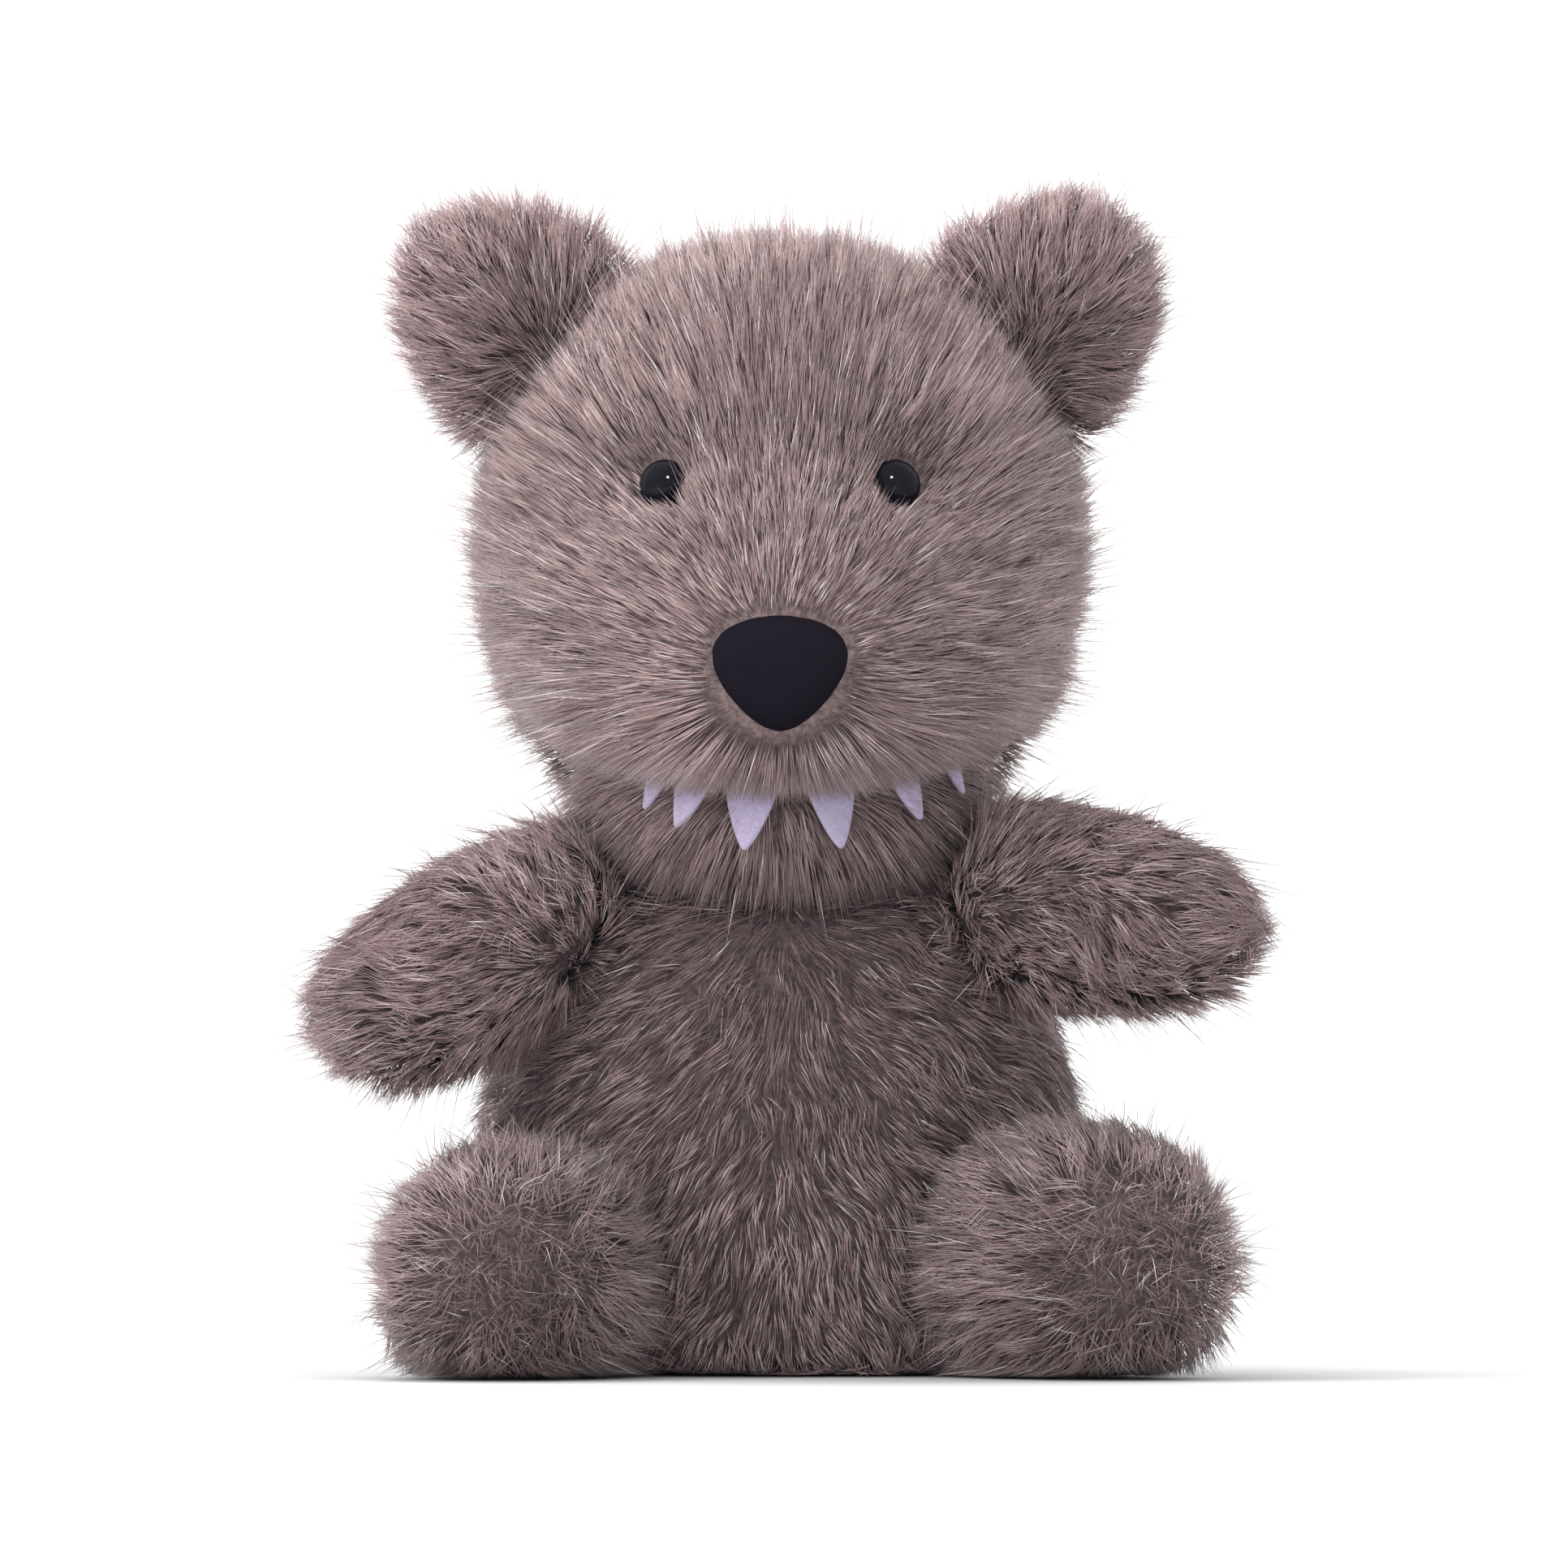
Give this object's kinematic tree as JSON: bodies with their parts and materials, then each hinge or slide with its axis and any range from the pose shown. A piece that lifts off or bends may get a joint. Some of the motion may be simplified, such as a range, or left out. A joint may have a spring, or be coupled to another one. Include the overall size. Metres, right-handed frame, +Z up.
{
  "type": "plush wolf",
  "caption": "Sitting plush wolf with a broad muzzle, felt teeth, safety eyes, a padded cloth nose and soft stuffed limbs.",
  "frame": {"origin": "on the floor, under the middle of the wolf's box", "axes": "+Z up; the wolf faces -Y, and its right paw is on the -X side"},
  "size_m": [0.1794, 0.179, 0.2275],
  "materials": {
    "face_fur": "long silky taupe pile, lighter on the face, matt with fine pale guard hairs",
    "body_fur": "long taupe brown pile, clumped into soft locks, darker at the roots",
    "eye_plastic": "polished near-black plastic dome",
    "washer_plastic": "plain natural plastic, hidden inside the head",
    "nose_cloth": "matt black fine-woven cloth over a soft pad",
    "tooth_felt": "pale lilac-white felt with a slightly fuzzy surface"
  },
  "bodies": {
    "root": {"head": "face_fur", "jaw": "face_fur", "body": "body_fur", "arm_right": "body_fur", "arm_left": "body_fur", "leg_right": "body_fur", "leg_left": "body_fur", "tail": "body_fur", "ear_right": "body_fur", "ear_left": "body_fur", "eye_right": "eye_plastic", "eye_left": "eye_plastic", "eye_washer_right": "washer_plastic", "eye_washer_left": "washer_plastic", "nose": "nose_cloth", "back_tooth_right": "tooth_felt", "side_tooth_right": "tooth_felt", "eye_tooth_right": "tooth_felt", "eye_tooth_left": "tooth_felt", "side_tooth_left": "tooth_felt", "back_tooth_left": "tooth_felt"}
  },
  "joints": []
}
